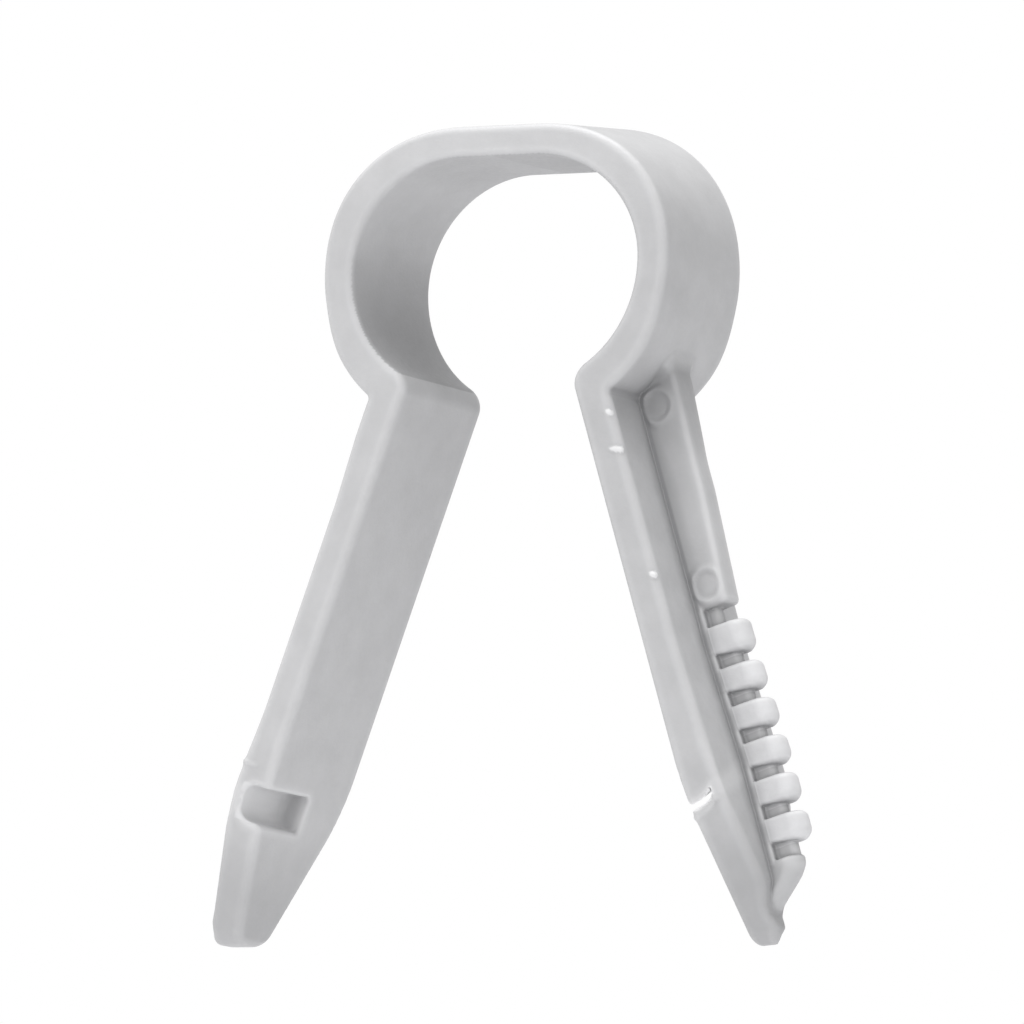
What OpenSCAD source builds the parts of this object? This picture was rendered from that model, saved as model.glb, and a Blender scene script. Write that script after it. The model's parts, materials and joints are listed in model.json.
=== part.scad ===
// Push-in wall anchor for a cable: an open loop with two legs that are squeezed together
// and pushed into a drilled hole. It is drawn as moulded, with the legs spread.
// Millimetres. X runs across the legs, Y along the cable, Z up. The origin is the middle of
// the loop, halfway between the centres of its two round halves.

/* [Cable loop] */
// Inside radius of each round half of the loop
bore_r = 4.3; // [3.8:0.1:5]
// Thickness of the loop and of both legs
strap_t = 1.2; // [1:0.05:1.4]
// Width of the clip along the cable
clip_w = 5.5; // [5:0.1:6]
// Length of the flat stretch at the crown, which bends when the legs close
crown_flat = 3.02; // [2.8:0.02:3.4]

/* [Legs] */
// Angle of each leg from vertical, as moulded
open_angle = 19.2; // [15:0.1:22]
// Distance between the legs' inner faces, measured where the loop ends
neck_gap = 6.7; // [6.4:0.1:7]
// Depth of that place under the middle of the loop
neck_drop = 4; // [3.8:0.1:4.2]
// Length of a leg from the neck to its end
leg_len = 21.3; // [20:0.1:23]
// Length of the straight stretch above the tapered point
straight_len = 15.8; // [15.4:0.1:16.4]
// Width of the left leg's end
left_end_w = 1.8; // [1.4:0.1:2.4]
// Width of the right leg's end
right_end_w = 1.2; // [1:0.1:1.8]

/* [Latch] */
// Height of the half-round pocket in the left leg
pocket_h = 1.33; // [1.1:0.01:1.5]
// Depth of the pocket into the leg
pocket_d = 0.83; // [0.6:0.01:0.9]
// Length of the pocket and of the slit along Y
latch_len = 2.95; // [2:0.05:3.5]
// Width of the slit in the right leg at its mouth
slit_w = 0.28; // [0.2:0.01:0.4]

/* [Rib and barbs] */
// Width of the rib along Y
rib_w = 1.15; // [1:0.05:1.3]
// Height of the rib above the leg at its top
rib_h = 1.55; // [1.4:0.05:1.7]
// Loss of rib height towards the barbs
rib_taper = 0.2; // [0:0.05:0.3]
// Distance from the neck to the end of the rib
rib_end = 9.25; // [9:0.05:9.4]
// Diameter of the two round moulding marks on the rib
mark_d = 1.32; // [1:0.02:1.4]
// Distance from the neck to the first barb
barb_start = 10.15; // [10:0.05:10.3]
// Distance from one barb to the next
barb_pitch = 1.43; // [1.4:0.01:1.45]
// Thickness of a barb along the leg
barb_t = 0.72; // [0.6:0.01:0.8]
// Height of a barb above the leg
barb_h = 1.87; // [1.7:0.01:2]
// Height of the strip that the barbs stand on
rail_h = 0.3; // [0.2:0.05:0.4]
// Height of the thin webs between the barbs, above the leg
web_h = 1.15; // [1:0.05:1.3]
// Width of those webs along Y
web_w = 0.5; // [0.4:0.05:0.7]

/* [Hidden] */

$fn = 96;
nylon = [0.80, 0.80, 0.81];
outer_r = bore_r + strap_t;
arc_x = crown_flat / 2;
neck_x = neck_gap / 2;
cut = 20;                    // reach of a cutting block, past every face
hinge_x = crown_flat / 4;    // where each half of the crown bends
web_half = hinge_x - 0.26;   // the crown's middle piece ends this far out
arm_start = hinge_x + 0.06;  // the arms begin this far out

// Centre of the right half's arc, seen from the right leg's own frame
arc_u = (arc_x - neck_x) * cos(open_angle) + neck_drop * sin(open_angle);
arc_v = (neck_x - arc_x) * sin(open_angle) + neck_drop * cos(open_angle);

neck_r = 0.45;               // rounding of the neck's inner edge
neck_v = arc_v - sqrt(pow(bore_r + neck_r, 2) - pow(neck_r - arc_u, 2));
fillet_r = 0.3;              // rounding where the loop meets a leg outside
fillet_u = strap_t + fillet_r;
fillet_v = arc_v - sqrt(pow(outer_r + fillet_r, 2) - pow(fillet_u - arc_u, 2));

arm_end = -1.4;              // the arms end here on a leg's own axis
tip_start = -15.2;           // the legs end and the tips start here
swell = 0.15;                // the left leg is this much thicker at its pocket
swell_start = -12.5;         // and starts to thicken here
swell_at_tip = swell * (swell_start - tip_start) / (swell_start + straight_len);
pocket_v = -16.1;            // middle of the pocket
end_chamfer = 0.3;           // corners taken off at a leg's very end
slit_v = -16.13;             // upper lip of the slit on the inner face
slit_depth = 1.05;           // the slit runs this far into the leg
mark_h = 0.05;               // the moulding marks stand this proud
mark_rim = 0.1;              // and are rings this wide
toe_top = -(barb_start + 6 * barb_pitch);
toe_knee = toe_top - 0.35;
toe_end = toe_top - 1.75;
end_slope = 0.45;            // the right point's outer face runs in by this much

// A profile in a leg's X and Z, given the width of the clip or less
module slab(width) {
    rotate([90, 0, 0])
        linear_extrude(height = width, center = true)
            children();
}

// A round bar along Y
module disc(u, v, r, width = clip_w) {
    translate([u, 0, v])
        rotate([90, 0, 0])
            cylinder(h = width, r = r, center = true);
}

// A leg's own frame: +X points out of the leg and +Z runs up it, from the neck
module on_leg() {
    translate([neck_x, 0, -neck_drop])
        rotate([0, -open_angle, 0])
            children();
}

// The same things on the left
module left_side() {
    mirror([1, 0, 0])
        children();
}

// Round half of the loop, with the neck it ends in
module arm() {
    difference() {
        union() {
            intersection() {
                translate([arc_x, 0, 0])
                    disc(0, 0, outer_r);
                translate([arc_x, -cut / 2, -cut / 2])
                    cube([cut, cut, cut]);
                on_leg()
                    translate([0, -cut / 2, -cut / 2])
                        cube([cut, cut, cut]);
            }
            on_leg()
                translate([0, -clip_w / 2, arm_end])
                    cube([strap_t, clip_w, -arm_end + 0.5]);
            on_leg()
                neck_fillet();
            translate([arm_start, -clip_w / 2, bore_r])
                cube([arc_x - arm_start + 0.01, clip_w, strap_t]);
        }
        translate([arc_x, 0, 0])
            disc(0, 0, bore_r, cut);
        on_leg()
            neck_rounding();
    }
}

// Material that fills the corner between the loop and the outside of a leg
module neck_fillet() {
    share = outer_r / (outer_r + fillet_r);
    difference() {
        slab(clip_w)
            polygon([
                [strap_t / 2, fillet_v],
                [fillet_u, fillet_v],
                [arc_u + share * (fillet_u - arc_u), arc_v + share * (fillet_v - arc_v)],
                [strap_t / 2, 0]
            ]);
        disc(fillet_u, fillet_v, fillet_r, cut);
    }
}

// Material taken off the inner edge of the neck
module neck_rounding() {
    share = bore_r / (bore_r + neck_r);
    difference() {
        slab(cut)
            polygon([
                [-0.6, neck_v],
                [neck_r, neck_v],
                [arc_u + share * (neck_r - arc_u), arc_v + share * (neck_v - arc_v)],
                [-0.6, 1]
            ]);
        disc(neck_r, neck_v, neck_r, cut + 1);
    }
}

// Outline of a leg's point seen from its inner face, cut to the right width
module point_outline(end_w) {
    round_cut = 0.35;
    rotate([90, 0, 90])
        linear_extrude(height = cut, center = true)
            polygon([
                [-clip_w / 2, tip_start],
                [-clip_w / 2, -straight_len],
                [-end_w / 2 - round_cut * 0.6, -leg_len + round_cut],
                [-end_w / 2 + round_cut * 0.5, -leg_len],
                [end_w / 2 - round_cut * 0.5, -leg_len],
                [end_w / 2 + round_cut * 0.6, -leg_len + round_cut],
                [clip_w / 2, -straight_len],
                [clip_w / 2, tip_start]
            ]);
}

module crown_web() {
    color(nylon)
        translate([-web_half, -clip_w / 2, bore_r])
            cube([2 * web_half, clip_w, strap_t]);
}

module left_arm() {
    color(nylon)
        left_side()
            arm();
}

module right_arm() {
    color(nylon)
        arm();
}

// Flat bar, a little thicker towards the pocket
module left_leg() {
    color(nylon)
        left_side()
            on_leg()
                slab(clip_w)
                    polygon([
                        [0, arm_end],
                        [strap_t, arm_end],
                        [strap_t, swell_start],
                        [strap_t + swell_at_tip, tip_start],
                        [0, tip_start]
                    ]);
}

// Tapered point of the left leg, with the half-round pocket
module left_tip() {
    color(nylon)
        left_side()
            on_leg()
                difference() {
                    intersection() {
                        slab(clip_w)
                            polygon([
                                [0, tip_start],
                                [strap_t + swell_at_tip, tip_start],
                                [strap_t + swell, -straight_len],
                                [strap_t, -leg_len + end_chamfer],
                                [strap_t - end_chamfer, -leg_len],
                                [end_chamfer, -leg_len],
                                [0, -leg_len + end_chamfer]
                            ]);
                        point_outline(left_end_w);
                    }
                    translate([0, -clip_w / 2, pocket_v])
                        latch_pocket();
                }
}

// Half-round groove that opens to the inner face and to the front
module latch_pocket() {
    round_r = pocket_h / 2;
    translate([pocket_d - round_r, -1, 0])
        rotate([-90, 0, 0])
            cylinder(h = latch_len + 1, r = round_r);
    translate([-1, -1, -round_r])
        cube([1 + pocket_d - round_r, latch_len + 1, pocket_h]);
}

// Flat plate that carries the rib
module right_leg() {
    color(nylon)
        on_leg()
            translate([0, -clip_w / 2, tip_start])
                cube([strap_t, clip_w, arm_end - tip_start]);
}

// Tapered point of the right leg, with the slit of the latch
module right_tip() {
    color(nylon)
        on_leg()
            difference() {
                intersection() {
                    slab(clip_w)
                        polygon([
                            [0, tip_start],
                            [strap_t, tip_start],
                            [strap_t, toe_end],
                            [strap_t - end_slope, -leg_len],
                            [end_chamfer, -leg_len],
                            [0, -leg_len + end_chamfer]
                        ]);
                    point_outline(right_end_w);
                }
                translate([0, (latch_len - clip_w - 1) / 2, slit_v])
                    slab(latch_len + 1)
                        polygon([
                            [-1, 0.05],
                            [slit_depth / 3, 0],
                            [slit_depth, 0.15],
                            [slit_depth / 2, -0.6 * slit_w],
                            [-1, -slit_w - 0.1]
                        ]);
            }
}

// Thick rib behind the front of the right leg, with two round moulding marks
module rib() {
    color(nylon)
        difference() {
            on_leg() {
                slab(rib_w)
                    polygon([
                        [strap_t, 0.4],
                        [strap_t + rib_h, 0.4],
                        [strap_t + rib_h, -5],
                        [strap_t + rib_h - rib_taper, -rib_end],
                        [strap_t, -rib_end]
                    ]);
                for (mark_v = [-1.78, -8.53])
                    translate([strap_t + 0.8, -rib_w / 2, mark_v])
                        rotate([90, 0, 0])
                            difference() {
                                cylinder(h = 2 * mark_h, d = mark_d, center = true);
                                cylinder(h = 4 * mark_h, d = mark_d - 2 * mark_rim, center = true);
                            }
            }
            arm();
        }
}

// Strip under the barbs, with the thin webs that stand between them
module barb_rail() {
    color(nylon)
        on_leg() {
            translate([strap_t, -rib_w / 2, toe_top])
                cube([rail_h, rib_w, -rib_end - toe_top]);
            translate([strap_t + rail_h / 2, -web_w / 2, -barb_start])
                cube([web_h - rail_h / 2, web_w, barb_start - rib_end]);
            for (i = [0 : 5])
                translate([strap_t + rail_h / 2, -web_w / 2, -barb_start - (i + 1) * barb_pitch])
                    cube([web_h - rail_h / 2, web_w, barb_pitch - barb_t]);
        }
}

// One barb, a flat tooth with a round end
module barb(i) {
    color(nylon)
        on_leg()
            translate([strap_t, 0, -barb_start - i * barb_pitch - barb_t]) {
                translate([rail_h, -rib_w / 2, 0])
                    cube([barb_h - rail_h - rib_w / 2, rib_w, barb_t]);
                intersection() {
                    translate([barb_h - rib_w / 2, 0, 0])
                        cylinder(h = barb_t, d = rib_w);
                    translate([barb_h - rib_w / 2 - 0.01, -cut / 2, 0])
                        cube([cut, cut, barb_t]);
                }
            }
}

module barb_1() { barb(0); }
module barb_2() { barb(1); }
module barb_3() { barb(2); }
module barb_4() { barb(3); }
module barb_5() { barb(4); }
module barb_6() { barb(5); }

// Wedge that closes the row of barbs and runs out into the point
module rib_toe() {
    color(nylon)
        on_leg()
            slab(rib_w)
                polygon([
                    [strap_t, toe_top],
                    [strap_t + 1.2, toe_top],
                    [strap_t + 1.05, toe_knee],
                    [strap_t + 0.02, toe_end],
                    [strap_t, toe_end]
                ]);
}

crown_web();
left_arm();
left_leg();
left_tip();
right_arm();
right_leg();
right_tip();
rib();
barb_rail();
barb_1();
barb_2();
barb_3();
barb_4();
barb_5();
barb_6();
rib_toe();
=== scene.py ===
"""Looks of the push-in wall anchor: one satin grey nylon moulding with soft edges.

Each half of the clip is described by a distance field in its leg's own frame, in millimetres:
u points out of the leg, y along the cable and v up the leg from the neck. The field gives the
mesh, its fillets and its smooth normals, and planes then part the mesh into the CAD's pieces.
"""

import json
import math

import bmesh
import bpy
import numpy as np
from mathutils import Matrix, Vector


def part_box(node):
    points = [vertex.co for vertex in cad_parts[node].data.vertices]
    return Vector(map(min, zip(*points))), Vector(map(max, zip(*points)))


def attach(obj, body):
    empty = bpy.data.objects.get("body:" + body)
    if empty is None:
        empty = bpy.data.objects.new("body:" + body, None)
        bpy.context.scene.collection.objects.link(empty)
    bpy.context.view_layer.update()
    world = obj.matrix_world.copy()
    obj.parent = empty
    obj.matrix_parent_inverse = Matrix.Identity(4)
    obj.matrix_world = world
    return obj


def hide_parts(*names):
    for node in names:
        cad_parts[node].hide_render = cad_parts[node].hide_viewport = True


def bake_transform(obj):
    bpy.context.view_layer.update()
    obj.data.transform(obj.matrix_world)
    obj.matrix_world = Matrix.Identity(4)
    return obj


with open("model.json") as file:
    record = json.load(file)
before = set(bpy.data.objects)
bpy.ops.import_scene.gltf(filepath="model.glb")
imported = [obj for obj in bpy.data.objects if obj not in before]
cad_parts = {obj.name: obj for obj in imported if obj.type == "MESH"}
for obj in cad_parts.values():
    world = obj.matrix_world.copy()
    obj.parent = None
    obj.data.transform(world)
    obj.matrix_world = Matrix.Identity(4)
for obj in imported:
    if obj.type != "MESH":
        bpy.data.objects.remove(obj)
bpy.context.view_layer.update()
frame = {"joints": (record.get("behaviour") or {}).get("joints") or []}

# ---------------------------------------------------------------- sizes, in millimetres
# A pair that ends in _AT says where a change starts and over what length it grows.
MM = 0.001
crown_low, crown_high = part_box("crown_web")
right_flex = next(j for j in frame["joints"] if j["name"] == "right_flex")
CLIP_W = (crown_high.y - crown_low.y) / MM
BORE_R = crown_low.z / MM
OUTER_R = crown_high.z / MM
STRAP = OUTER_R - BORE_R
HINGE_X = right_flex["pos_m"][0] / MM
ARC_X = 2 * HINGE_X          # each round half is centred this far from the middle

# The loop
SIDE_R = 5.5                 # outside radius at the sides
DOME, DOME_RISE = 5.34, 0.11           # height of the crown, and how much it rises per mm back
POWER, POWER_DROP = 2.15, 0.018        # squareness of the shoulders (2 is round), and its drop
VAULT, VAULT_RISE = 4.01, 0.03         # height of the bore, and how much it rises per mm back
NECK_SWELL = 0.18            # how much thicker the loop grows down to the neck
NECK_SWELL_AT = (-1.0, 2.6)
NECK_R = 0.65                # rounding of the neck's inner edge
NECK_FILLET = 0.14           # fillet between loop and leg outside

# The legs
OPEN_ANGLE = math.radians(19.2)
COS, SIN = math.cos(OPEN_ANGLE), math.sin(OPEN_ANGLE)
NECK_X, NECK_DROP = 3.35, 4.0          # the neck's place beside and below the loop's centre
HALF_W = CLIP_W / 2 + 0.08   # half width between the rounded edges
LEG_U = -0.04                # inner face
LEG_T = STRAP + 0.04         # outer face, between the rounded edges
LEG_ROOT_V = 1.0             # the outer face ends here, inside the loop
FACE_END_V = 3.0             # and above this height the bore is the only inner face
FAR_INSIDE = -9.0            # stands for no inner face
EDGE_R = 0.26                # rounding of the long edges
STRAIGHT_LEN = 15.8          # the points taper from here
TAPER_R = 0.6                # rounding where the taper starts
END = {"left": (21.08, 0.34, 0.5), "right": (21.3, 0.16, 0.4)}    # length inside, slant, rounding
END_HALF = {"left": (1.3, 0.65), "right": (0.55, 0.1)}   # half width at the end, front and back

# How much thicker the legs are outside: an amount, where it starts going down, and its length
SHOULDER, SHOULDER_FADES_AT = (0.1, -0.4, 0.9), (-5.0, 2.5)
LEFT_GROWTH, LEFT_POWER = (0.22, -12.5, 3.3), 1.5
LEFT_POINT, LEFT_END = (-0.14, -17.2, 3.0), (-0.15, -20.7, 0.4)
RIGHT_GROWTH = (0.2, -10.5, 4.5)
RIGHT_POINT_V, RIGHT_POINT_SLOPE = -19.4, 0.3
WAIST, WAIST_V, WAIST_HALF = 0.13, -20.2, 0.55
BULB, BULB_END = (0.19, -20.5, 0.5), (-0.2, -20.95, 0.4)

# The rib on the right leg
ROOT_U = 0.6                 # rib, barbs and toe start here, inside the leg
RIB_HALF = 0.575
RIB_TOP, RIB_BOTTOM = 2.75, 2.52       # height at the loop and at the barbs
RIB_START, RIB_END = 2.0, -9.25        # from inside the loop's wall down to the barbs
RIB_DROP_V = -5.0            # the rib gets lower from here
RIB_R = 0.2
RIB_LIFT, RIB_SPREAD = 0.1, 0.25       # how much higher and wider it gets at the loop
NEAR_LOOP_AT = (-4.0, 3.0)
SEAM_R = 0.03                # fillet at the foot of rib and barbs
RIB_FLARE = 0.35             # and how much wider it gets where the rib runs into the loop
FLARE_U_AT, FLARE_V_AT = (1.8, 0.9), (-2.2, 0.8)
MARKS = ((1.88, -1.64), (1.95, -8.45))      # u and v of the two round marks
MARK_R, MARK_RIM, MARK_RIM_HALF = 0.6, 0.06, 0.14    # radius, and height and width of the rim
MARK_PAN, MARK_PAN_EDGE = 0.015, 0.2   # how far they are sunk, and the width of that slope
MARK_FOOT_AT = (1.28, 0.2)   # the rim rises from here

# The barbs
RAIL_TOP, RAIL_R = 1.5, 0.08
CORE_HALF, CORE_TOP = 0.25, 2.28       # the thin web between the barbs
CORE_DIP, CORE_DIP_AT = 0.27, (-0.2, 0.2)   # how much lower the web is over the first barb
INTO_RIB, INTO_TOE = 0.4, 0.2          # the rail and the web run on by this much
BARBS = 6
BARB_START, BARB_PITCH, BARB_T = -10.08, 1.43, 0.84
BARB_TOP = 2.9               # height off the leg's inner face
BARB_HOOK, HOOK_AT = 0.18, (1.3, 1.2)  # how much thicker a barb is at its nose
FIRST_EXTRA = 0.15           # and how much thicker the first one is
BARB_R, NOSE_AT = 0.1, (1.8, 0.8)      # rounding of the long edges
NOSE_UNDER_R, NOSE_OVER_R = 0.3, 0.16  # and how much rounder they get at the nose
WEB_FILLET = 0.06
BARB_RIB_FILLET, TOE_FILLET = 0.05, 0.04

# The toe under the last barb
TOE_TOP, TOE_R = -18.73, 0.12
TOE_KNEE_U, TOE_KNEE_DROP = 2.3, 0.42  # where its outside turns inwards, and how far under its top
TOE_FACE_SLOPE, TOE_RAMP_SLOPE = 0.17, 0.8   # slopes of its outside over and under the knee
TOE_STEEP = 1.2              # how much faster than the distance the ramp's field grows

# The latch: a pocket in the left leg, a slit with a raised lip in the right one
LATCH_Y = 0.2                # both end here, a little past the middle
POCKET_V, POCKET_R, POCKET_D = -16.1, 0.665, 0.83
POCKET_CORNER, POCKET_END_R, POCKET_EDGE_R = 0.45, 0.2, 0.16
RIDGE, RIDGE_V, RIDGE_HALF = 0.06, -14.77, 0.1   # fine moulding line over the pocket
RIDGE_AT = (0.5, 0.3)
SLIT_V, SLIT_W, SLIT_REACH = -16.64, 0.18, 0.84
SLIT_LEAN, SLIT_SPREAD = 0.36, 0.08    # how much it rises and widens per mm back
SLIT_EDGE_R = 0.08
NAIL_R = 0.1                 # rounding of the part above the slit
LIP_RISE, LIP_ROUND = 0.46, 0.96       # how the slit curves up towards the outside
LIP_RIDGE, LIP_RIDGE_HALF, LIP_RIDGE_DROP = 0.05, 0.1, 0.1   # fine raised line along it
LIP_RIDGE_AT, LIP_RIDGE_Y = (1.1, 0.2), -2.0

# Specks of flash on the right leg's front edge
FLECKS = ((1.0, -3.25, 0.24), (1.12, -8.05, 0.12), (1.08, -1.87, 0.1))   # u, v and length
FLECK_R, FLECK_FILLET = 0.1, 0.08
FLECK_INSET, FLECK_TILT = 0.06, 0.4    # how far in they sit, and how much they slope

# Where the halves are parted into the CAD's pieces
CROWN_HALF = 0.25            # the crown's middle piece ends here
ARM_END = -0.95              # loop and leg part here, down the leg's own axis
TIP_START = -15.2            # and leg and point part here
PLATE_CUT = 0.06             # rib and rail start this far off the leg's outer face
RAIL_CUT = 0.02              # and barbs and webs this far off the rail
BARB_CUT = 0.06              # barbs and toe are cut off this far past their faces
FIRST_OVER = 0.16            # and the first barb, which is thicker, this far over its usual top
RIB_CUT = 0.1                # the rib ends this far past its lower face

GRID = 0.08                  # spacing of the sampled field
HALF_LOW, HALF_HIGH = (-3.4, -2.95, -21.6), (5.4, 2.95, 10.5)   # what the grid covers
MIRROR = {"left": -1, "right": 1}


# ---------------------------------------------------------------- distance fields
def above(x, start, length):
    """How far x is above start, as a share of length, held between 0 and 1."""
    return np.clip((x - start) / length, 0, 1)


def below(x, start, length):
    """How far x is below start, as a share of length, held between 0 and 1."""
    return np.clip((start - x) / length, 0, 1)


def hump(x, middle, half):
    """1 in the middle, fading out smoothly to both sides."""
    return np.exp(-((x - middle) / half) ** 2)


def round_min(a, b, r):
    """Union of two shapes, with a fillet of radius r."""
    return np.maximum(r, np.minimum(a, b)) - np.hypot(np.maximum(r - a, 0), np.maximum(r - b, 0))


def round_max(a, b, r):
    """Intersection of two shapes, with their shared edge rounded to radius r."""
    return np.minimum(-r, np.maximum(a, b)) + np.hypot(np.maximum(r + a, 0), np.maximum(r + b, 0))


def to_clip(u, v):
    """X and Z of a point in the clip's own frame, for the right half."""
    return NECK_X + u * COS - v * SIN, -NECK_DROP + u * SIN + v * COS


def turned(along_u, along_v):
    """A direction's X and Z in the clip's own frame, for the right half."""
    return along_u * COS - along_v * SIN, along_u * SIN + along_v * COS


def loop_outside(x, y, z):
    """The loop's outer surface: squarer shoulders, and a crown that is lower at the front."""
    dx = x - ARC_X
    high = DOME + DOME_RISE * y
    power = POWER - POWER_DROP * y
    dome = (np.maximum(dx, 0) / SIDE_R) ** power + (np.maximum(z, 0) / high) ** power
    neck = below(z, *NECK_SWELL_AT)
    side = np.hypot(dx, z) - SIDE_R - NECK_SWELL * neck ** 2 * (3 - 2 * neck)
    return np.where(z > 0, (dome ** (1 / power) - 1) * SIDE_R, side)


def loop_inside(x, y, z):
    """The bore, which is flatter under the crown's front."""
    dx = np.where(z > 0, np.maximum(x - ARC_X, 0), x - ARC_X)
    high = np.where(z > 0, VAULT + VAULT_RISE * y, BORE_R)
    return (1 - np.hypot(dx / BORE_R, z / high)) * BORE_R


def strap(u, y, v, side):
    """Half of the loop and its leg, down to the tapered point."""
    x, z = to_clip(u, v)
    leg = np.maximum(u - LEG_T, v - LEG_ROOT_V)
    outer = round_min(loop_outside(x, y, z), leg, NECK_FILLET)
    face = np.where(v < FACE_END_V, LEG_U - u, FAR_INSIDE)
    inner = round_max(face, loop_inside(x, y, z), NECK_R)
    edge = np.abs(y) - HALF_W
    length, slant, end_r = END[side]
    taper = (HALF_W - np.where(y < 0, *END_HALF[side])) / (length - STRAIGHT_LEN)
    slope = (edge - (v + STRAIGHT_LEN) * taper) / np.hypot(1, taper)
    plan = round_max(round_max(edge, slope, TAPER_R), -length - v - slant * u, end_r)
    return round_max(np.maximum(outer, inner), plan, EDGE_R)


def bar(u, y, v, low, high, half, top, bottom, r):
    """A bar on the leg from u = low to high, |y| < half and bottom < v < top, with round edges."""
    section = round_max(u - high, np.abs(y) - half, r)
    return np.maximum(round_max(section, np.maximum(v - top, bottom - v), r), low - u)


def rib(u, y, v):
    """The outward rib, with the raised rims of two moulding marks on its front."""
    height = RIB_TOP + (RIB_BOTTOM - RIB_TOP) * below(v, RIB_DROP_V, RIB_DROP_V - RIB_END)
    near_loop = above(v, *NEAR_LOOP_AT)
    height = height + RIB_LIFT * near_loop
    half = RIB_HALF + np.where(y > 0, RIB_SPREAD * near_loop, 0)
    for mark_u, mark_v in MARKS:
        from_mark = np.hypot(u - mark_u, v - mark_v)
        rim = MARK_RIM * hump(from_mark, MARK_R, MARK_RIM_HALF) * above(u, *MARK_FOOT_AT)
        pan = MARK_PAN * below(from_mark, MARK_R, MARK_PAN_EDGE)
        half = half + np.where(y < 0, rim - pan, 0)
    body = bar(u, y, v, ROOT_U, height, half, RIB_START, RIB_END, RIB_R)
    x, z = to_clip(u, v)
    return np.maximum(body, (BORE_R + OUTER_R) / 2 - np.hypot(x - ARC_X, z))


def nosed(u, y, top, half):
    """A bar's plan: straight sides, with a half round outer edge."""
    nose = top - half
    return np.where(u > nose, np.hypot(u - nose, y), np.abs(y)) - half


def barbs(u, y, v):
    """The row of barbs on its rail, with the thin web between them."""
    row_top, row_bottom = RIB_END + INTO_RIB, TOE_TOP - INTO_TOE
    rail = bar(u, y, v, ROOT_U, RAIL_TOP, RIB_HALF, row_top, row_bottom, RAIL_R)
    core_top = CORE_TOP - CORE_DIP * above(v - BARB_START, *CORE_DIP_AT)
    core = np.maximum(nosed(u, y, core_top, CORE_HALF), np.maximum(v - row_top, row_bottom - v))
    body = round_min(rail, np.maximum(core, ROOT_U - u), WEB_FILLET)
    at_nose = above(u, *NOSE_AT)
    for i in range(BARBS):
        top = BARB_START - i * BARB_PITCH
        bottom = top - BARB_T - BARB_HOOK * above(u, *HOOK_AT)
        if i == 0:
            top = top + FIRST_EXTRA
        plate = nosed(u, y, BARB_TOP, RIB_HALF)
        plate = round_max(plate, bottom - v, BARB_R + NOSE_UNDER_R * at_nose)
        plate = round_max(plate, v - top, BARB_R + NOSE_OVER_R * at_nose)
        body = round_min(body, np.maximum(plate, ROOT_U - u), WEB_FILLET)
    return body


def toe(u, y, v):
    """The wedge under the last barb, with the barbs' round nose."""
    from_knee = v - (TOE_TOP - TOE_KNEE_DROP)
    top = TOE_KNEE_U - round_max(-TOE_FACE_SLOPE * from_knee, -TOE_RAMP_SLOPE * from_knee, TOE_R)
    section = round_max(nosed(u, y, top, RIB_HALF) / TOE_STEEP, v - TOE_TOP, TOE_R)
    return np.maximum(section, ROOT_U - u)


def lip(u):
    """Height of the lower side of the latch's slit, which curves up towards the outside."""
    along = np.clip(u / SLIT_REACH, 0, 1)
    return SLIT_V + LIP_RISE * (1 - np.sqrt(1 - along ** 2 * LIP_ROUND))


def slit(u, y, v):
    """The latch's slit. It leans up and widens towards the back, so light shows through it."""
    low = lip(u) + SLIT_LEAN * (y + HALF_W)
    nail = NAIL_R - np.sqrt(np.maximum(NAIL_R ** 2 - np.clip(NAIL_R - u, 0, NAIL_R) ** 2, 0))
    high = low + SLIT_W + nail + SLIT_SPREAD * (y + HALF_W)
    return np.maximum(np.maximum(low - v, v - high), np.maximum(u - SLIT_REACH, y - LATCH_Y))


def lip_ridge(u, y, v):
    """Height of the fine raised line along the slit's lower side, on the front face."""
    fine = LIP_RIDGE * hump(v - lip(u), -LIP_RIDGE_DROP, LIP_RIDGE_HALF)
    return np.where(y < LIP_RIDGE_Y, fine * below(u, *LIP_RIDGE_AT), 0)


def fleck(u, y, v, at_u, at_v, long):
    """A speck of flash on the front outer edge, as a thin ellipsoid."""
    du = (u - at_u) / long
    dy = (y + HALF_W - FLECK_INSET) / FLECK_R
    dv = (v - at_v + FLECK_TILT * (u - at_u)) / FLECK_R
    return (np.sqrt(du ** 2 + dy ** 2 + dv ** 2) - 1) * FLECK_R


def right_half(u, y, v):
    """Half of the loop with the leg that carries rib, barbs, toe and slit."""
    body = strap(u, y, v, "right") - lip_ridge(u, y, v)
    outside = round_min(rib(u, y, v), barbs(u, y, v), BARB_RIB_FILLET)
    outside = round_min(outside, toe(u, y, v), TOE_FILLET)
    flare = above(u, *FLARE_U_AT) * above(v, *FLARE_V_AT)
    body = round_min(body, outside, SEAM_R + RIB_FLARE * flare)
    for at_u, at_v, long in FLECKS:
        body = round_min(body, fleck(u, y, v, at_u, at_v, long), FLECK_FILLET)
    return round_max(body, -slit(u, y, v), SLIT_EDGE_R)


def left_half(u, y, v):
    """Half of the loop with the plain leg, the latch's pocket and a fine line over it."""
    groove = round_max(u - POCKET_D, np.abs(v - POCKET_V) - POCKET_R, POCKET_CORNER)
    pocket = round_max(groove, y - LATCH_Y, POCKET_END_R)
    body = round_max(strap(u, y, v, "left"), -pocket, POCKET_EDGE_R)
    ridge = RIDGE * hump(v, RIDGE_V, RIDGE_HALF) * above(u, *RIDGE_AT)
    return body - np.where(y < 0, ridge, 0)


HALVES = {"left": left_half, "right": right_half}


def grown(v, amount, start, length):
    """A change of thickness that grows to its amount down the leg."""
    return amount * below(v, start, length)


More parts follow.
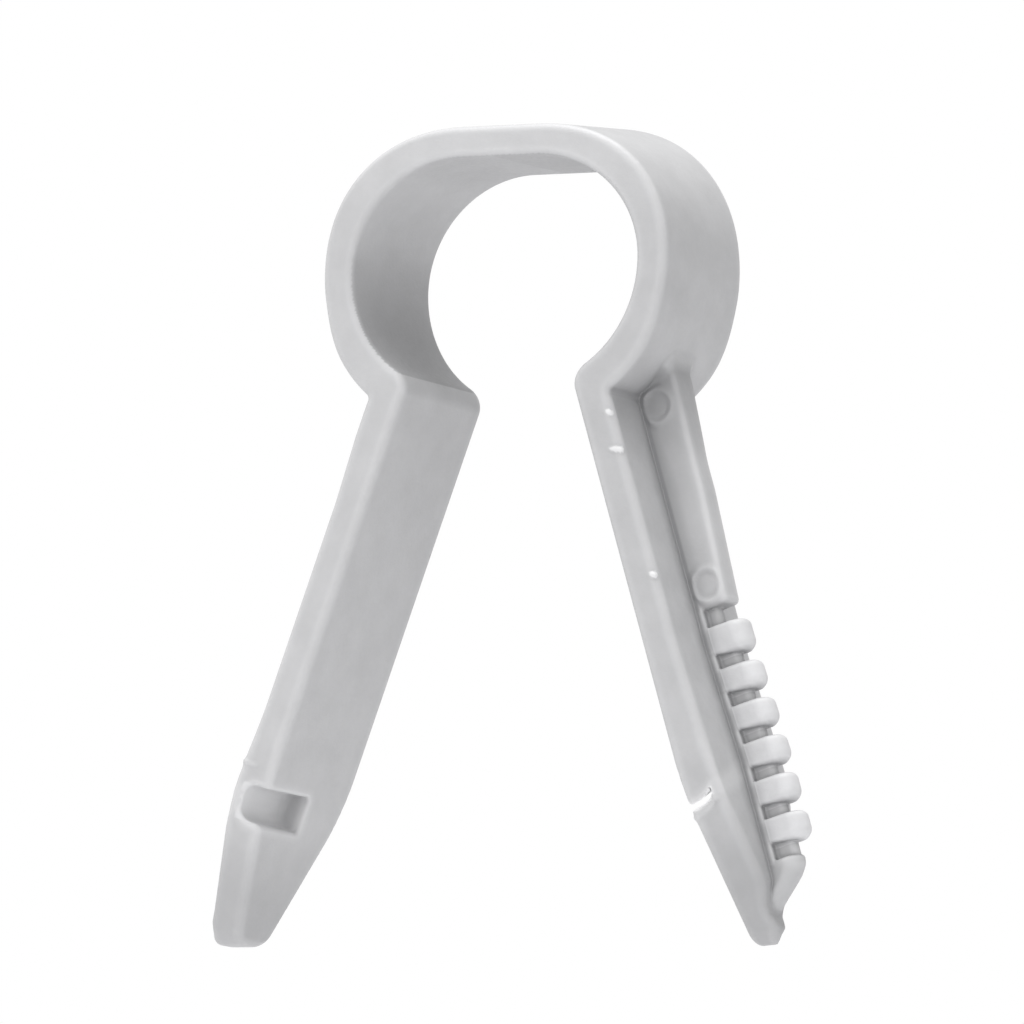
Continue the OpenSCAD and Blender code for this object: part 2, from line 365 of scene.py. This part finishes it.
def swell(v, side):
    """How much thicker than its top a leg is at v; its outside moves out by this much."""
    if side == "left":
        amount, *place = LEFT_GROWTH
        shoulder = grown(v, *SHOULDER) * above(v, *SHOULDER_FADES_AT)
        growth = amount * below(v, *place) ** LEFT_POWER
        return shoulder + growth + grown(v, *LEFT_POINT) + grown(v, *LEFT_END)
    waist = WAIST * hump(v, WAIST_V, WAIST_HALF)
    bulb = grown(v, *BULB) + grown(v, *BULB_END)
    point = RIGHT_POINT_SLOPE * np.maximum(RIGHT_POINT_V - v, 0)
    return grown(v, *RIGHT_GROWTH) - point - waist + bulb


# ---------------------------------------------------------------- from field to mesh
def sampled(field, low, high):
    """Vertices and quads of the field's zero surface, by surface nets on a grid."""
    axes = [np.arange(a, b + GRID, GRID, dtype=np.float32) for a, b in zip(low, high)]
    spread = np.meshgrid(*axes, indexing="ij", sparse=True)
    f = np.broadcast_to(field(*spread), [len(a) for a in axes])
    inside = f < 0
    cells = [n - 1 for n in inside.shape]
    corner_sum = np.zeros(cells, np.int8)
    for i in (0, 1):
        for j in (0, 1):
            for k in (0, 1):
                corner_sum += inside[i:i + cells[0], j:j + cells[1], k:k + cells[2]]
    crossed = (corner_sum > 0) & (corner_sum < 8)
    cell = np.argwhere(crossed)
    number = np.full(cells, -1, np.int64)
    number[crossed] = np.arange(len(cell))

    total = np.zeros((len(cell), 3))
    count = np.zeros(len(cell))
    faces = []
    for axis in range(3):
        b, c = (axis + 1) % 3, (axis + 2) % 3
        step = np.eye(3, dtype=int)
        for off_b in (0, 1):
            for off_c in (0, 1):
                start = cell + off_b * step[b] + off_c * step[c]
                end = start + step[axis]
                f0, f1 = f[tuple(start.T)], f[tuple(end.T)]
                cross = (f0 < 0) != (f1 < 0)
                share = f0[cross] / (f0[cross] - f1[cross])
                total[cross] += start[cross] + share[:, None] * step[axis]
                count[cross] += 1
        first = inside.take(range(cells[axis]), axis)
        second = inside.take(range(1, cells[axis] + 1), axis)
        edge = np.argwhere(first != second)
        low_enough = (edge[:, b] < cells[b]) & (edge[:, c] < cells[c])
        edge = edge[(edge[:, b] > 0) & (edge[:, c] > 0) & low_enough]
        starts_inside = inside[tuple(edge.T)]
        quad = np.stack([number[tuple((edge - back).T)] for back in
                         (0 * step[b], step[b], step[b] + step[c], step[c])], 1)
        quad[~starts_inside] = quad[~starts_inside][:, ::-1]
        faces.append(quad)
    points = np.array(low) + GRID * total / count[:, None]
    return points, np.concatenate(faces)


def gradient(field, p, d=0.004):
    """The field's slope at each point."""
    out = np.empty_like(p)
    for axis in range(3):
        shift = np.zeros(3)
        shift[axis] = d
        out[:, axis] = (field(*(p + shift).T) - field(*(p - shift).T)) / (2 * d)
    return out


def snapped(field, p):
    """The points moved onto the zero surface."""
    for _ in range(4):
        slope = gradient(field, p)
        move = field(*p.T)[:, None] * slope / np.maximum((slope ** 2).sum(1), 0.05)[:, None]
        length = np.linalg.norm(move, axis=1)[:, None]
        p = p - move * np.minimum(1, 0.5 * GRID / np.maximum(length, 1e-9))
    return p


def bending(field, p, d=0.16):
    """How sharply the surface bends at each point: above 0 on edges, below 0 in corners."""
    total = -6 * field(*p.T)
    for axis in range(3):
        shift = np.zeros(3)
        shift[axis] = d
        total = total + field(*(p + shift).T) + field(*(p - shift).T)
    return total / d ** 2


# ---------------------------------------------------------------- painted light and shade, from 0 to 1
BORE_SKIN = -0.05            # what is this close to the bore, in millimetres, lies on it
BORE_DARK_AT = (1.6, 3.6)    # painted shade: the bore darkens downwards
VAULT_DARK, VAULT_DARK_AT = 0.5, (3.2, 0.8)      # and painted shade under the crown
POINT_DARK, POINT_DARK_AT = 0.6, (-16.5, 3.0)    # and painted shade on the legs towards their ends
CROWN_PALE, CROWN_PALE_AT = 0.14, (0.5, 3.5)     # painted light: front and shoulders are paler upwards
LEFT_PALE = 0.07             # painted light: all of the left leg gets at least this much
RIB_PALE, RIB_PALE_AT = 0.1, (-3.0, 3.0)         # and painted light on the rib, downwards
POCKET_DARK = 0.4            # painted shade in the pocket, at its end only
# painted light on the pocket's floor, less at its end
POCKET_PALE, POCKET_END_PALE = 0.25, 0.1
POCKET_WALL_THIN = 0.25      # how much of the painted glow of thin nylon the pocket's outer wall shows
RECESS_DARK = 0.8            # painted shade in the recess beside the rib, under the loop
RECESS_AT, RECESS_TOP_AT = (-4.2, 3.5), (0.8, 0.6)
RECESS_FADE, SLIT_FADE, FLECK_FADE = 0.3, 0.06, 0.04   # in millimetres
BARB_DARK = 0.75             # how much of the painted shade barbs and gaps get
# painted highlight on the specks of flash
FLECK_PALE = 0.45

# painted shade where a point is closed in
SHELTER_TILT = 0.8           # how far the six directions lean off the normal
SHELTER_GAIN, SHELTER_FREE = 1.3, 0.25           # and what they add, past an open face's share
CORNER_GAIN, CORNER_MOST = 0.1, 0.5              # what a sharp corner adds to the painted shade


def painted_shade(field, p, normal, bend, reach=0.8):
    """How closed in each point is, from 0 in the open to about 1 in a deep corner; painted as shade.
    """
    total = np.zeros(len(p))
    for axis in range(3):
        for way in (-SHELTER_TILT, SHELTER_TILT):
            toward = normal.copy()
            toward[:, axis] += way
            toward /= np.linalg.norm(toward, axis=1)[:, None]
            total += np.clip(1 - field(*(p + toward * reach).T) / reach, 0, 1.2) / 6
    corner = np.clip(-CORNER_GAIN * bend, 0, CORNER_MOST)
    return np.clip(SHELTER_GAIN * (total - SHELTER_FREE), 0, 1) + corner


def thinness(field, p, normal, depth=0.4):
    """How thin the nylon is behind each point, from 0 where it is thicker than twice the depth."""
    return np.clip(1 + field(*(p - normal * depth).T) / depth, 0, 1)


def pocket_end(u, y, v):
    """How deep in the far end of the left leg's pocket a point is, from 0 to 1."""
    along = above(y - LATCH_Y, -0.25, 0.2) * (y < LATCH_Y + 0.1)
    in_groove = (u < POCKET_D + 0.1) * (np.abs(v - POCKET_V) < POCKET_R + 0.1)
    return along * np.clip(u / 0.3, 0, 1) * in_groove


def left_tones(u, y, v, closed, painted_light, thin):
    """The left leg's painted light, with painted shade at the pocket's end and painted light on its
    floor.
    """
    in_groove = (np.abs(v - POCKET_V) < POCKET_R + 0.03) & (u > 0.12) & (u < POCKET_D + 0.05)
    in_pocket = in_groove & (y < LATCH_Y + 0.03)
    # painted shade at the pocket's end, painted light on its floor and over the leg
    depth = pocket_end(u, y, v)
    closed = np.where(in_pocket, POCKET_DARK * depth, closed)
    inside = POCKET_PALE - (POCKET_PALE - POCKET_END_PALE) * depth
    painted_light = np.where(in_pocket, inside, np.maximum(painted_light, LEFT_PALE))
    return closed, painted_light, np.where(u > LEG_T - 0.1, POCKET_WALL_THIN * thin, thin)


def right_tones(u, y, v, closed, painted_light):
    """The right leg's painted light and shade: shade in the recess beside the rib, less on barbs,
    light in the slit and on specks of flash.
    """
    x, z = to_clip(u, v)
    # painted light in the slit, where light shows through
    in_slit = np.clip(1 - slit(u, y, v) / SLIT_FADE, 0, 1)
    # painted shade in the recess under the loop
    under_loop = above(v, *RECESS_AT) * below(v, *RECESS_TOP_AT)
    beside_rib = (np.abs(y) < HALF_W - 0.3) * (u > LEG_T - 0.05)
    in_recess = beside_rib * np.clip(loop_outside(x, y, z) / RECESS_FADE, 0, 1)
    closed = np.maximum(closed, RECESS_DARK * in_recess * under_loop)
    # less painted shade on the barbs, and none in the slit
    on_barbs = (v < RIB_END) & (u > LEG_T + 0.1)
    closed = closed * (1 - in_slit) * np.where(on_barbs, BARB_DARK, 1)
    # painted light on the rib, downwards
    on_rib = (v > RIB_END - 0.05) * (u > LEG_T + 0.15)
    painted_light = np.maximum(painted_light, RIB_PALE * below(v, *RIB_PALE_AT) * on_rib)
    painted_light = np.maximum(painted_light, in_slit)
    # painted highlight on the specks of flash
    for at_u, at_v, long in FLECKS:
        near = 1 - fleck(u, y, v, at_u, at_v, long) / FLECK_FADE
        painted_light = np.maximum(painted_light, np.clip(near, 0, FLECK_PALE))
    return closed, painted_light


def tones(field, p, normal, side):
    """The painted light and shade that the nylon's colour follows, each a value at every point."""
    u, y, v = p.T
    x, z = to_clip(u, v)
    # the bend: painted highlight on rounded edges, painted shade in corners
    edge = bending(field, p)
    # painted shade where the surface is closed in
    closed = painted_shade(field, p, normal, edge)
    thin = thinness(field, p, normal)
    on_bore = loop_inside(x, y, z) > BORE_SKIN
    # painted shade in the bore, downwards and under the crown
    bore_dark = below(z, *BORE_DARK_AT) + VAULT_DARK * above(z, *VAULT_DARK_AT)
    closed = np.where(on_bore, np.maximum(closed, bore_dark), closed)
    # painted shade towards the legs' ends
    point_dark = np.where(u < LEG_T + 0.05, POINT_DARK * below(v, *POINT_DARK_AT), 0)
    closed = np.maximum(closed, point_dark)
    # painted light on faces that turn to the front, or up and out
    across, upward = turned(normal[:, 0], normal[:, 2])
    shoulder = 2 * np.maximum(across, 0) * np.maximum(upward, 0)
    facing = np.clip(shoulder - normal[:, 1], 0, 1)
    painted_light = np.where(on_bore, 0, CROWN_PALE * above(z, *CROWN_PALE_AT) * facing)
    if side == "left":
        closed, painted_light, thin = left_tones(u, y, v, closed, painted_light, thin)
    else:
        closed, painted_light = right_tones(u, y, v, closed, painted_light)
    return {"edge": edge, "painted_shade": closed, "painted_light": painted_light, "thin": thin}


# ---------------------------------------------------------------- cuts
def shell(side):
    """A whole half as one closed bmesh in the leg's frame."""
    field = HALVES[side]
    points, quads = sampled(field, HALF_LOW, HALF_HIGH)
    mesh = bpy.data.meshes.new("shell")
    mesh.from_pydata(snapped(field, points).tolist(), [], quads.tolist())
    bm = bmesh.new()
    bm.from_mesh(mesh)
    bm.faces.layers.int.new("cap")
    bpy.data.meshes.remove(mesh)
    return bm


def kept_side(bm, point, normal):
    """A copy of bm without what lies on the normal's side of the plane, closed with a cap."""
    out = bm.copy()
    everything = out.verts[:] + out.edges[:] + out.faces[:]
    cut = bmesh.ops.bisect_plane(out, geom=everything, dist=1e-5, plane_co=point, plane_no=normal,
                                 clear_outer=True)
    edges = [e for e in cut["geom_cut"] if isinstance(e, bmesh.types.BMEdge)]
    if edges:
        filled = bmesh.ops.triangle_fill(out, edges=edges, use_beauty=False, use_dissolve=False,
                                         normal=normal)
        cap = out.faces.layers.int["cap"]
        for face in filled["geom"]:
            if isinstance(face, bmesh.types.BMFace):
                face[cap] = 1
                face.normal_update()
                if face.normal.dot(normal) < 0:
                    face.normal_flip()
    return out


def parted(bm, point, normal):
    """bm in two, as (the part behind the plane, the part on the normal's side)."""
    normal = Vector(normal)
    return kept_side(bm, Vector(point), normal), kept_side(bm, Vector(point), -normal)


UP = (0, 0, 1)
OUT = (1, 0, 0)
SIDEWAYS = (COS, 0, -SIN)    # +X of the clip, seen in the leg's frame


def at_x(x):
    """The point of the leg's frame that lies at X = x and Z = 0 on the clip."""
    return ((x - NECK_X) * COS + NECK_DROP * SIN, 0, -(x - NECK_X) * SIN + NECK_DROP * COS)


# ---------------------------------------------------------------- finish, with painted light and shade
# greys for painted glow where thin, painted highlight on edges, painted shade in hollows, painted
# light on lit faces
THIN_GLOW_GREY = (0.66, 0.66, 0.665, 1)
EDGE_HIGHLIGHT_GREY = (0.7, 0.7, 0.705, 1)
SHADE_GREY = (0.2, 0.2, 0.205, 1)
PAINTED_LIGHT_WHITE = (0.92, 0.92, 0.925, 1)
COOLER = 1.015               # the nylon's blue over its red and green


def node(tree, kind, at, **inputs):
    """A shader node at a place in the editor, with its sockets' values."""
    made = tree.nodes.new(kind)
    made.location = at
    for key, value in inputs.items():
        made.inputs[key.replace("_", " ")].default_value = value
    return made


def ramped(tree, source, low, high, out_low, out_high, at):
    """A value mapped from one range to another, held at its ends."""
    made = node(tree, "ShaderNodeMapRange", at, From_Min=low, From_Max=high, To_Min=out_low,
                To_Max=out_high)
    tree.links.new(source, made.inputs["Value"])
    return made.outputs["Result"]


def mixed(tree, amount, first, second, at):
    """Two colours mixed by amount; either may be a plain colour."""
    made = tree.nodes.new("ShaderNodeMix")
    made.data_type = "RGBA"
    made.location = at
    tree.links.new(amount, made.inputs[0])
    for socket, colour in ((made.inputs[6], first), (made.inputs[7], second)):
        if isinstance(colour, tuple):
            socket.default_value = colour
        else:
            tree.links.new(colour, socket)
    return made.outputs[2]


def nylon_material(name, dull, clean):
    """Light grey moulded nylon: faint mottling, with painted light where thin, on edges and on lit
    faces, and painted shade in corners.
    """
    material = bpy.data.materials.new(name)
    material.use_nodes = True
    tree = material.node_tree
    tree.nodes.clear()
    link = tree.links.new
    out = node(tree, "ShaderNodeOutputMaterial", (1100, 0))
    shader = node(tree, "ShaderNodeBsdfPrincipled", (800, 0))
    link(shader.outputs["BSDF"], out.inputs["Surface"])

    marks = {}
    for row, mark in enumerate(("rest_mm", "edge", "painted_shade", "painted_light", "thin")):
        marks[mark] = node(tree, "ShaderNodeAttribute", (-900, -200 * row))
        marks[mark].attribute_name = mark

    cloud = node(tree, "ShaderNodeTexNoise", (-600, 300), Scale=0.8, Detail=5.0, Roughness=0.6)
    fine = node(tree, "ShaderNodeTexNoise", (-600, -400), Scale=6.0, Detail=3.0, Roughness=0.6)
    for noise in (cloud, fine):
        link(marks["rest_mm"].outputs["Vector"], noise.inputs["Vector"])

    mottling = ramped(tree, cloud.outputs["Fac"], 0.3, 0.7, 0, 1, (-400, 300))
    greys = [(level, level, level * COOLER, 1) for level in (dull, clean)]
    body = mixed(tree, mottling, *greys, (-200, 300))
    # painted glow where light would shine through thin nylon
    thin = ramped(tree, marks["thin"].outputs["Fac"], 0.0, 0.9, 0, 0.35, (-400, 50))
    body = mixed(tree, thin, body, THIN_GLOW_GREY, (0, 250))
    # painted highlight on rounded edges
    edge = ramped(tree, marks["edge"].outputs["Fac"], 1.0, 6.0, 0, 0.25, (-400, -100))
    body = mixed(tree, edge, body, EDGE_HIGHLIGHT_GREY, (200, 200))
    # painted shade in corners, hollows and the bore
    shade = ramped(tree, marks["painted_shade"].outputs["Fac"], 0.05, 1.0, 0, 0.65, (-400, -250))
    body = mixed(tree, shade, body, SHADE_GREY, (400, 150))
    # painted light on lit faces, in the slit and on the specks
    body = mixed(tree, marks["painted_light"].outputs["Fac"], body, PAINTED_LIGHT_WHITE, (600, 100))
    link(body, shader.inputs["Base Color"])
    satin = ramped(tree, fine.outputs["Fac"], 0.3, 0.7, 0.4, 0.55, (-300, -400))
    link(satin, shader.inputs["Roughness"])

    grain = node(tree, "ShaderNodeBump", (500, -300), Strength=0.35, Distance=0.00003)
    link(fine.outputs["Fac"], grain.inputs["Height"])
    link(grain.outputs["Normal"], shader.inputs["Normal"])
    return material


# ---------------------------------------------------------------- pieces
def listed(items, key, kind, width=1):
    """One property of every item as an array, with rows where it has several numbers."""
    values = np.empty(len(items) * width, kind)
    items.foreach_get(key, values)
    return values.reshape(-1, width) if width > 1 else values


def swollen(co, normal, side, step=0.05):
    """The points moved out by their leg's swell, and their normals turned to match."""
    share = np.clip(co[:, 0] / STRAP, 0, 1)
    lean = (swell(co[:, 2] + step, side) - swell(co[:, 2] - step, side)) / (2 * step) * share
    co[:, 0] += swell(co[:, 2], side) * share
    normal[:, 2] -= normal[:, 0] * lean
    return co, normal / np.linalg.norm(normal, axis=1)[:, None]


def set_normals(mesh, normal):
    """The field's own normals on the moulding, and flat ones on the cut faces."""
    is_cap = np.zeros(len(mesh.polygons), int)
    mesh.attributes["cap"].data.foreach_get("value", is_cap)
    mesh.attributes.remove(mesh.attributes["cap"])
    mesh.shade_smooth()
    corners = normal[listed(mesh.loops, "vertex_index", int)]
    face_normal = listed(mesh.polygons, "normal", float, 3)
    sizes = listed(mesh.polygons, "loop_total", int)
    face_of = np.repeat(np.arange(len(sizes)), sizes)
    flat = is_cap[face_of] == 1
    corners[flat] = face_normal[face_of[flat]]
    mesh.normals_split_custom_set(corners.tolist())


def piece(name, bm, side, material):
    """A part of a half as a finished object in the clip's frame, in metres."""
    mesh = bpy.data.meshes.new(name)
    bm.to_mesh(mesh)
    bm.free()
    field = HALVES[side]
    co = listed(mesh.vertices, "co", float, 3)
    normal = gradient(field, co)
    normal /= np.linalg.norm(normal, axis=1)[:, None]
    marks = tones(field, co, normal, side)
    co, normal = swollen(co, normal, side)

    mirror = MIRROR[side]
    x, z = to_clip(co[:, 0], co[:, 2])
    world = np.stack([mirror * x, co[:, 1], z], 1)
    across, upward = turned(normal[:, 0], normal[:, 2])
    normal = np.stack([mirror * across, normal[:, 1], upward], 1)
    mesh.vertices.foreach_set("co", (world * MM).ravel())
    rest = mesh.attributes.new("rest_mm", "FLOAT_VECTOR", "POINT")
    rest.data.foreach_set("vector", world.ravel())
    for key, values in marks.items():
        mesh.attributes.new(key, "FLOAT", "POINT").data.foreach_set("value", values)
    if mirror < 0:
        mesh.flip_normals()
    mesh.update()
    set_normals(mesh, normal)

    thing = bpy.data.objects.new(name, mesh)
    bpy.context.scene.collection.objects.link(thing)
    mesh.materials.append(material)
    return thing


def settle(thing, body, *nodes):
    """The piece rides on its body and stands for its CAD nodes."""
    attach(thing, body)
    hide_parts(*nodes)


def bend(thing, side, cad_node):
    """The arm's mesh is baked into the clip's frame, and its CAD node is hidden."""
    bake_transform(thing)
    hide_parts(cad_node)


def build_left(material):
    """The left half as arm, leg and point."""
    _, whole = parted(shell("left"), at_x(CROWN_HALF), SIDEWAYS)
    rest, arm = parted(whole, (0, 0, ARM_END), UP)
    tip, leg = parted(rest, (0, 0, TIP_START), UP)
    bend(piece("left_loop_half", arm, "left", material), "left", "left_arm")
    settle(piece("left_leg_bar", leg, "left", material), "left_half", "left_leg")
    settle(piece("left_point", tip, "left", material), "left_half", "left_tip")


def build_right(material, painted_light):
    """The crown's middle, then the right half as arm, leg, point and what is on the leg."""
    _, whole = parted(shell("right"), at_x(-CROWN_HALF), SIDEWAYS)
    crown, whole = parted(whole, at_x(CROWN_HALF), SIDEWAYS)
    rest, arm = parted(whole, (0, 0, ARM_END), UP)
    plate, outside = parted(rest, (LEG_T + PLATE_CUT, 0, 0), OUT)
    tip, leg = parted(plate, (0, 0, TIP_START), UP)
    settle(piece("crown_strip", crown, "right", material), "crown", "crown_web")
    bend(piece("right_loop_half", arm, "right", material), "right", "right_arm")
    settle(piece("right_leg_plate", leg, "right", material), "right_half", "right_leg")
    settle(piece("right_point", tip, "right", material), "right_half", "right_tip")

    below_rib, upper = parted(outside, (0, 0, RIB_END - RIB_CUT), UP)
    settle(piece("back_rib", upper, "right", material), "right_half", "rib")
    wedge, row = parted(below_rib, (0, 0, TOE_TOP + BARB_CUT), UP)
    settle(piece("toe_wedge", wedge, "right", material), "right_half", "rib_toe")
    build_barbs(row, material, painted_light)


def build_barbs(row, material, painted_light):
    """The six barbs, cut one by one from the row, and the strip of rail and webs that is left."""
    strip, teeth = parted(row, (RAIL_TOP + RAIL_CUT, 0, 0), OUT)
    webs = []
    for i in range(BARBS):
        top = BARB_START - i * BARB_PITCH
        under = top - BARB_T - BARB_HOOK - BARB_CUT
        over = top + (FIRST_OVER if i == 0 else BARB_CUT)
        teeth, web = parted(teeth, (0, 0, over), UP)
        teeth, tooth = parted(teeth, (0, 0, under), UP)
        webs.append(web)
        number = str(i + 1)
        settle(piece("barb_tooth_" + number, tooth, "right", painted_light), "right_half", "barb_" + number)
    webs.append(teeth)
    for web in webs:
        loose = bpy.data.meshes.new("loose")
        web.to_mesh(loose)
        web.free()
        strip.from_mesh(loose)
        bpy.data.meshes.remove(loose)
    settle(piece("barb_strip", strip, "right", material), "right_half", "barb_rail")


# ---------------------------------------------------------------- stage, in metres and degrees
FLOOR_Z, FLOOR_HALF = -0.08, 1.5
FLOOR_GREY = (0.86, 0.86, 0.87, 1)
WHITE = (1, 1, 1, 1)
ROOM_LEVEL = 0.83            # brightness all round
ROOM_SLOPE = (-0.15, -0.48, 0.18)      # and how it grows along X, Y and Z
TARGET = (-0.000418, 0, -0.008465)
AZIMUTH, ELEVATION, ROLL = 30.186, -6.974, 2.342
DISTANCE, SENSOR_MM, LENS_MM = 0.5, 36, 493.903125


def floor(z):
    """A large pale floor, well below the clip."""
    mesh = bpy.data.meshes.new("floor")
    half = FLOOR_HALF
    corners = [(-half, -half, z), (half, -half, z), (half, half, z), (-half, half, z)]
    mesh.from_pydata(corners, [], [(0, 1, 2, 3)])
    thing = bpy.data.objects.new("floor", mesh)
    bpy.context.scene.collection.objects.link(thing)
    material = bpy.data.materials.new("pale_floor")
    material.use_nodes = True
    shader = material.node_tree.nodes["Principled BSDF"]
    shader.inputs["Base Color"].default_value = FLOOR_GREY
    shader.inputs["Roughness"].default_value = 0.8
    mesh.materials.append(material)


def soft_light(name, at, toward, width, power):
    """A round studio lamp that looks from one place to another."""
    lamp = bpy.data.lights.new(name, "AREA")
    lamp.shape = "DISK"
    lamp.size = width
    lamp.energy = power
    thing = bpy.data.objects.new(name, lamp)
    thing.location = at
    thing.rotation_euler = (Vector(toward) - Vector(at)).to_track_quat("-Z", "Y").to_euler()
    bpy.context.scene.collection.objects.link(thing)


def camera(target, azimuth, elevation, roll, distance):
    """The camera, turned about the target by azimuth and elevation and about its own axis by roll."""
    azimuth, elevation, roll = (math.radians(a) for a in (azimuth, elevation, roll))
    level = math.cos(elevation)
    back = Vector((math.sin(azimuth) * level, -math.cos(azimuth) * level, math.sin(elevation)))
    flat_right = Vector((math.cos(azimuth), math.sin(azimuth), 0))
    flat_up = back.cross(flat_right)
    right = flat_right * math.cos(roll) + flat_up * math.sin(roll)
    up = flat_up * math.cos(roll) - flat_right * math.sin(roll)
    lens = bpy.data.cameras.new("camera")
    lens.lens = LENS_MM
    lens.sensor_width = SENSOR_MM
    lens.clip_start = 0.01
    thing = bpy.data.objects.new("camera", lens)
    bpy.context.scene.collection.objects.link(thing)
    turn = Matrix((right, up, back)).transposed().to_4x4()
    thing.matrix_world = Matrix.Translation(Vector(target) + back * distance) @ turn
    bpy.context.scene.camera = thing


def surroundings():
    """A white room, brighter in front and overhead; the camera sees it plain white."""
    world = bpy.data.worlds.new("white_room")
    world.use_nodes = True
    tree = world.node_tree
    link = tree.links.new
    sky = tree.nodes["Background"]
    sky.location = (0, 0)
    sky.inputs["Color"].default_value = WHITE
    toward = node(tree, "ShaderNodeTexCoord", (-800, 0))
    slope = node(tree, "ShaderNodeVectorMath", (-600, 0))
    slope.operation = "DOT_PRODUCT"
    slope.inputs[1].default_value = ROOM_SLOPE
    link(toward.outputs["Generated"], slope.inputs[0])
    level = node(tree, "ShaderNodeMath", (-300, 0))
    level.operation = "ADD"
    level.inputs[1].default_value = ROOM_LEVEL
    link(slope.outputs["Value"], level.inputs[0])
    link(level.outputs["Value"], sky.inputs["Strength"])

    plain_white = node(tree, "ShaderNodeBackground", (0, -200), Color=WHITE, Strength=1.0)
    seen = node(tree, "ShaderNodeLightPath", (0, 300))
    both = node(tree, "ShaderNodeMixShader", (300, 0))
    link(seen.outputs["Is Camera Ray"], both.inputs[0])
    link(sky.outputs["Background"], both.inputs[1])
    link(plain_white.outputs["Background"], both.inputs[2])
    link(both.outputs["Shader"], tree.nodes["World Output"].inputs["Surface"])
    bpy.context.scene.world = world
    bpy.context.scene.view_settings.view_transform = "Standard"


nylon = nylon_material("satin_grey_nylon", dull=0.415, clean=0.46)
# painted light: the barbs get a lighter copy of the nylon
build_right(nylon, nylon_material("painted_light_grey_nylon", dull=0.58, clean=0.66))
build_left(nylon)

floor(FLOOR_Z)
surroundings()
soft_light("top", at=(-0.04, 0, 0.35), toward=(0, 0, 0), width=0.3, power=0.9)
soft_light("side", at=(0.25, -0.1, 0.02), toward=(0, 0, -0.01), width=0.2, power=0.05)
camera(TARGET, AZIMUTH, ELEVATION, ROLL, DISTANCE)
